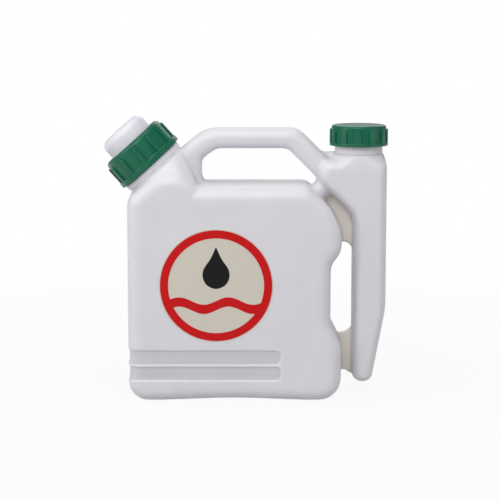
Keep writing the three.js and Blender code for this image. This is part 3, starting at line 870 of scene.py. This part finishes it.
def buildSheet(material):
    sheet = flatDisc("labelSheet", label["radius"])
    thicken(sheet, label["thickness"])
    applyModifier(sheet, "BEVEL", width=0.08 * mm, segments=2, limit_method="ANGLE")
    settle(sheet, "labelSheet", "bottle", "label_sheet", material)


def edgeHeight(x, side):
    wave = label["waveHeight"] * math.sin(fullTurn * x / label["waveLength"])
    return wave - label["bandDrop"] + side * label["bandWidth"] / 2


def bandEnd(sign, side):
    # where the band's upper or lower edge runs in under the ring
    reach = label["ringInner"] + label["ringLap"]
    x = sign * reach
    for _ in range(30):
        x = sign * math.sqrt(reach ** 2 - edgeHeight(x, side) ** 2)
    return x


def buildRedPrint(material):
    # the ring is a disc inset and opened, and the band a strip whose rows follow the wave
    ring = flatDisc("labelRing", label["ringOuter"])
    bpy.ops.object.mode_set(mode="EDIT")
    bpy.ops.mesh.select_all(action="SELECT")
    bpy.ops.mesh.inset(thickness=(label["ringOuter"] - label["ringInner"]) * mm)
    bpy.ops.mesh.delete(type="ONLY_FACE")
    bpy.ops.object.mode_set(mode="OBJECT")
    thicken(ring, label["print"], low=label["thickness"])

    bpy.ops.mesh.primitive_grid_add(x_subdivisions=120, y_subdivisions=1, size=2 * mm)
    band = bpy.context.object
    for vert in band.data.vertices:
        side = 1 if vert.co.y > 0 else -1
        left, right = bandEnd(-1, side), bandEnd(1, side)
        x = left + (right - left) * (vert.co.x / mm + 1) / 2
        vert.co = (x * mm, edgeHeight(x, side) * mm, 0)
    thicken(band, label["print"] - 0.01, low=label["thickness"])
    red = joinPieces("labelRed", [ring, band])
    settle(red, "labelRed", "bottle", "label_red_print", material)


def buildDrop(material):
    # a round belly that narrows to a small tip
    belly = drawOutline("labelDrop", dropCorners(), flat=5)
    bpy.ops.object.mode_set(mode="EDIT")
    bpy.ops.mesh.select_all(action="SELECT")
    bpy.ops.mesh.edge_face_add()
    bpy.ops.object.mode_set(mode="OBJECT")
    thicken(belly, label["print"], low=label["thickness"])
    settle(belly, "labelDrop", "bottle", "label_black_drop", material)


def dropCorners():
    radius, tip = label["dropRadius"], label["dropTip"]
    waistX, waistZ = radius * label["waist"][0], tip - radius * label["waist"][1]
    half = math.radians(22.5)
    reach = radius / math.cos(half)
    corners = [(0, tip, label["tipCurve"]), (-waistX, waistZ, label["waistCurve"])]
    for i in range(label["bellyCorners"]):
        spot = math.pi - half + 2 * half * i
        corners.append((reach * math.cos(spot), label["dropLift"] + reach * math.sin(spot), radius))
    corners.append((waistX, waistZ, label["waistCurve"]))
    return corners


# Materials

def linear(hexColour):
    # an sRGB hex value as the linear colour that a shader takes
    channels = [int(hexColour[i:i + 2], 16) / 255 for i in (1, 3, 5)]
    return [c / 12.92 if c <= 0.04045 else ((c + 0.055) / 1.055) ** 2.4 for c in channels] + [1]


def addNode(tree, kind, settings=None, inputs=None):
    # a node with its settings, its input values and its links from other nodes' outputs
    node = tree.nodes.new(kind)
    for name, value in (settings or {}).items():
        setattr(node, name, value)
    for name, value in (inputs or {}).items():
        if isinstance(value, bpy.types.NodeSocket):
            tree.links.new(value, node.inputs[name])
        else:
            node.inputs[name].default_value = value
    return node


def startMaterial(name, values):
    material = bpy.data.materials.new(name)
    material.use_nodes = True
    tree = material.node_tree
    shader = tree.nodes["Principled BSDF"]
    for socket, value in values.items():
        shader.inputs[socket].default_value = value
    return material, tree, shader


def tintRamp(tree, factor, low, high):
    ramp = addNode(tree, "ShaderNodeValToRGB", inputs={"Fac": factor})
    ramp.color_ramp.elements[0].color = linear(low)
    ramp.color_ramp.elements[1].color = linear(high)
    return ramp


def naturalPolyethylene():
    # natural HDPE, blow-moulded: milky and a little see-through at the skin, with a soft sheen and
    # the faint ripple of a wall that was blown against the mould
    material, tree, shader = startMaterial("naturalPolyethyleneBlown", {
        "IOR": 1.54, "Roughness": 0.42, "Subsurface Weight": 0.35,
        "Subsurface Radius": (0.006, 0.006, 0.0065), "Subsurface Scale": 1.0,
    })
    coords = addNode(tree, "ShaderNodeTexCoord").outputs["Object"]
    cloud = addNode(tree, "ShaderNodeTexNoise", inputs={
        "Vector": coords, "Scale": 28, "Detail": 2, "Roughness": 0.5}).outputs["Fac"]
    wall = tintRamp(tree, cloud, "#DDDBE0", "#E6E4E9")
    # painted light: the pinched web is coloured lighter and warmer than the wall, standing in for
    # the light shining through the thin web and lifting the shade of its deep gap
    webLight = addNode(tree, "ShaderNodeAttribute", {"attribute_name": "webPaintedLight"})
    tint = addNode(tree, "ShaderNodeMixRGB", inputs={
        "Fac": webLight.outputs["Fac"], "Color1": wall.outputs["Color"], "Color2": linear("#EFE8DC")})
    tree.links.new(tint.outputs["Color"], shader.inputs["Base Color"])
    grain = addNode(tree, "ShaderNodeTexNoise", inputs={
        "Vector": coords, "Scale": 1400, "Detail": 2}).outputs["Fac"]
    gloss = addNode(tree, "ShaderNodeMapRange", inputs={
        "Value": cloud, "From Min": 0.3, "From Max": 0.7, "To Min": 0.36, "To Max": 0.46})
    tree.links.new(gloss.outputs["Result"], shader.inputs["Roughness"])
    fine = addNode(tree, "ShaderNodeBump", inputs={
        "Strength": 0.12, "Distance": 0.00005, "Height": grain})
    ripple = addNode(tree, "ShaderNodeBump", inputs={
        "Strength": 0.25, "Distance": 0.0012, "Height": cloud, "Normal": fine.outputs["Normal"]})
    tree.links.new(ripple.outputs["Normal"], shader.inputs["Normal"])
    return material


def greenPolypropylene():
    # green polypropylene, injection-moulded: an even colour and a satin gloss that runs along
    # every edge, over a very fine spark-eroded grain
    material, tree, shader = startMaterial("greenPolypropyleneMoulded", {
        "IOR": 1.49, "Roughness": 0.26, "Specular IOR Level": 0.36,
    })
    coords = addNode(tree, "ShaderNodeTexCoord").outputs["Object"]
    cloud = addNode(tree, "ShaderNodeTexNoise", inputs={
        "Vector": coords, "Scale": 60, "Detail": 2}).outputs["Fac"]
    tint = tintRamp(tree, cloud, "#045A40", "#08674B")
    tree.links.new(tint.outputs["Color"], shader.inputs["Base Color"])
    gloss = addNode(tree, "ShaderNodeMapRange", inputs={
        "Value": cloud, "From Min": 0.3, "From Max": 0.7, "To Min": 0.24, "To Max": 0.32})
    tree.links.new(gloss.outputs["Result"], shader.inputs["Roughness"])
    grain = addNode(tree, "ShaderNodeTexNoise", inputs={
        "Vector": coords, "Scale": 2200, "Detail": 2}).outputs["Fac"]
    bump = addNode(tree, "ShaderNodeBump", inputs={
        "Strength": 0.15, "Distance": 0.00004, "Height": grain})
    tree.links.new(bump.outputs["Normal"], shader.inputs["Normal"])
    return material


def whitePolyethylene():
    # white low-density polyethylene, injection-moulded: smoother than the bottle and as milky
    material, tree, shader = startMaterial("whitePolyethyleneMoulded", {
        "IOR": 1.51, "Roughness": 0.34, "Subsurface Weight": 0.3,
        "Subsurface Radius": (0.004, 0.004, 0.004), "Subsurface Scale": 1.0,
    })
    coords = addNode(tree, "ShaderNodeTexCoord").outputs["Object"]
    cloud = addNode(tree, "ShaderNodeTexNoise", inputs={
        "Vector": coords, "Scale": 70, "Detail": 2}).outputs["Fac"]
    tint = tintRamp(tree, cloud, "#DFDDE5", "#E8E6EE")
    tree.links.new(tint.outputs["Color"], shader.inputs["Base Color"])
    bump = addNode(tree, "ShaderNodeBump", inputs={
        "Strength": 0.1, "Distance": 0.0003, "Height": cloud})
    tree.links.new(bump.outputs["Normal"], shader.inputs["Normal"])
    return material


def printedVinyl(name, low, high, roughness):
    # label vinyl, calendered and screen printed: flat and even, with a faint mottle in the ink and
    # a satin face that is duller than the bottle's skin
    material, tree, shader = startMaterial(name, {
        "IOR": 1.5, "Roughness": roughness, "Specular IOR Level": 0.2})
    coords = addNode(tree, "ShaderNodeTexCoord").outputs["Object"]
    mottle = addNode(tree, "ShaderNodeTexNoise", inputs={
        "Vector": coords, "Scale": 240, "Detail": 4, "Roughness": 0.6}).outputs["Fac"]
    tint = tintRamp(tree, mottle, low, high)
    tree.links.new(tint.outputs["Color"], shader.inputs["Base Color"])
    gloss = addNode(tree, "ShaderNodeMapRange", inputs={
        "Value": mottle, "To Min": roughness - 0.05, "To Max": roughness + 0.05})
    tree.links.new(gloss.outputs["Result"], shader.inputs["Roughness"])
    bump = addNode(tree, "ShaderNodeBump", inputs={
        "Strength": 0.1, "Distance": 0.00004, "Height": mottle})
    tree.links.new(bump.outputs["Normal"], shader.inputs["Normal"])
    return material


def moulded(name, low, high, roughness, grainSize, grainDepth):
    # cell and grain sizes are in millimetres, drawn as a noise that is as coarse as they are
    material, tree, shader = startMaterial(name, {"IOR": 1.5, "Roughness": roughness})
    coords = addNode(tree, "ShaderNodeTexCoord").outputs["Object"]
    grain = addNode(tree, "ShaderNodeTexNoise", inputs={
        "Vector": coords, "Scale": 1000 / grainSize, "Detail": 3}).outputs["Fac"]
    tint = tintRamp(tree, grain, low, high)
    tree.links.new(tint.outputs["Color"], shader.inputs["Base Color"])
    bump = addNode(tree, "ShaderNodeBump", inputs={
        "Strength": 0.5, "Distance": grainDepth * mm, "Height": grain})
    tree.links.new(bump.outputs["Normal"], shader.inputs["Normal"])
    return material


def dress(node, material):
    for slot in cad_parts[node].material_slots:
        slot.material = material


natural = naturalPolyethylene()
green = greenPolypropylene()
white = whitePolyethylene()

buildBottle(natural)
buildRingCap(green)
buildStopper(white)
buildOilCap(green)
buildSheet(printedVinyl("creamVinylPrinted", "#CCC5B8", "#D3CCC0", 0.5))
buildRedPrint(printedVinyl("redInkScreenPrinted", "#C00A0E", "#CB1014", 0.46))
buildDrop(printedVinyl("blackInkScreenPrinted", "#0B090B", "#131113", 0.46))
# nitrile rubber, pressed: matt, near black, with a fine grain
dress("filler_gasket", moulded("nitrileRubberPressed", "#1C1C1E", "#28282A", 0.7, 0.6, 0.03))
# closed-cell polyethylene foam, die cut: chalky white with small cells
dress("oil_cap_liner", moulded("polyethyleneFoamCut", "#DAD9D4", "#E9E8E4", 0.85, 0.5, 0.08))
print("materials laid on")


# Floor, light and camera

studio = {
    "floorSize": 6,
    "nearWhite": 0.93,       # share of plain white in the floor beside the bottle
    "fade": (0.15, 0.9),     # metres from the bottle over which it turns all white
    "worldColour": (0.94, 0.94, 0.98, 1),
    "worldStrength": 0.33,
    "aim": (0, 0, 0.12),
    "softboxes": {           # place, size and power
        "topSoftbox": ((-0.15, -0.3, 1.3), (1.2, 1.0), 5),
        "frontSoftbox": ((-0.35, -1.6, 1.35), (1.2, 0.7), 14),
        "leftSoftbox": ((-1.3, -0.7, 0.7), (0.6, 1.1), 7),
        "rightSoftbox": ((1.4, -0.7, 0.6), (0.7, 1.2), 3.5),
        "backSoftbox": ((0.3, 1.7, 1.1), (1.2, 0.8), 4.5),
    },
    "cameraTarget": (0.0033, 0.0002, 0.1263),
    "cameraDistance": 1.5,
    "cameraRise": 8.5,
    "cameraLens": 124.1,
}


def stageMaterial():
    # plain white paper sweep: shows white to the camera and keeps a share of the real shading near
    # the bottle, less and less of it further away
    material, tree, shader = startMaterial("whitePaperSweep", {"Roughness": 0.9})
    shader.inputs["Base Color"].default_value = linear("#C4C4C4")
    coords = addNode(tree, "ShaderNodeTexCoord").outputs["Object"]
    away = addNode(tree, "ShaderNodeVectorMath", {"operation": "LENGTH"}, {"Vector": coords})
    fadeStart, fadeEnd = studio["fade"]
    keep = addNode(tree, "ShaderNodeMapRange", inputs={
        "Value": away.outputs["Value"], "From Min": fadeStart, "From Max": fadeEnd,
        "To Min": studio["nearWhite"], "To Max": 1.0})
    light = addNode(tree, "ShaderNodeLightPath")
    seen = addNode(tree, "ShaderNodeMath", {"operation": "MAXIMUM"})
    tree.links.new(light.outputs["Is Camera Ray"], seen.inputs[0])
    tree.links.new(light.outputs["Is Glossy Ray"], seen.inputs[1])
    share = addNode(tree, "ShaderNodeMath", {"operation": "MULTIPLY"})
    tree.links.new(seen.outputs[0], share.inputs[0])
    tree.links.new(keep.outputs["Result"], share.inputs[1])
    glow = addNode(tree, "ShaderNodeEmission", inputs={"Color": (1, 1, 1, 1), "Strength": 1.0})
    mix = addNode(tree, "ShaderNodeMixShader")
    tree.links.new(share.outputs[0], mix.inputs[0])
    tree.links.new(shader.outputs[0], mix.inputs[1])
    tree.links.new(glow.outputs[0], mix.inputs[2])
    tree.links.new(mix.outputs[0], tree.nodes["Material Output"].inputs["Surface"])
    return material


def buildStage():
    bpy.ops.object.select_all(action="DESELECT")
    bpy.ops.mesh.primitive_plane_add(size=studio["floorSize"], location=(0, 0, 0))
    floor = bpy.context.object
    floor.name = "floor"
    floor.data.materials.append(stageMaterial())
    world = bpy.data.worlds.new("studio")
    bpy.context.scene.world = world
    world.use_nodes = True
    tree = world.node_tree
    back = tree.nodes["Background"]
    back.inputs["Color"].default_value = studio["worldColour"]
    back.inputs["Strength"].default_value = studio["worldStrength"]
    plain = addNode(tree, "ShaderNodeBackground", inputs={"Color": (1, 1, 1, 1), "Strength": 1.0})
    light = addNode(tree, "ShaderNodeLightPath")
    mix = addNode(tree, "ShaderNodeMixShader")
    tree.links.new(light.outputs["Is Camera Ray"], mix.inputs[0])
    tree.links.new(back.outputs[0], mix.inputs[1])
    tree.links.new(plain.outputs[0], mix.inputs[2])
    tree.links.new(mix.outputs[0], tree.nodes["World Output"].inputs["Surface"])


def addSoftbox(name, location, size, power):
    lamp = bpy.data.lights.new(name, "AREA")
    lamp.shape = "RECTANGLE"
    lamp.size, lamp.size_y = size
    lamp.energy = power
    box = bpy.data.objects.new(name, lamp)
    box.location = location
    aim = Vector(studio["aim"]) - Vector(location)
    box.rotation_euler = aim.to_track_quat("-Z", "Y").to_euler()
    bpy.context.scene.collection.objects.link(box)


def placeCamera():
    # a little above the bottle and square on to the label
    target = Vector(studio["cameraTarget"])
    rise = math.radians(studio["cameraRise"])
    camera = bpy.data.cameras.new("camera")
    camera.sensor_width = 36
    camera.lens = studio["cameraLens"]
    holder = bpy.data.objects.new("camera", camera)
    away = Vector((0, -math.cos(rise), math.sin(rise)))
    holder.location = target + studio["cameraDistance"] * away
    holder.rotation_euler = (target - holder.location).to_track_quat("-Z", "Y").to_euler()
    bpy.context.scene.collection.objects.link(holder)
    bpy.context.scene.camera = holder


buildStage()
for name, (location, size, power) in studio["softboxes"].items():
    addSoftbox(name, location, size, power)
placeCamera()
bpy.context.scene.view_settings.view_transform = "Standard"
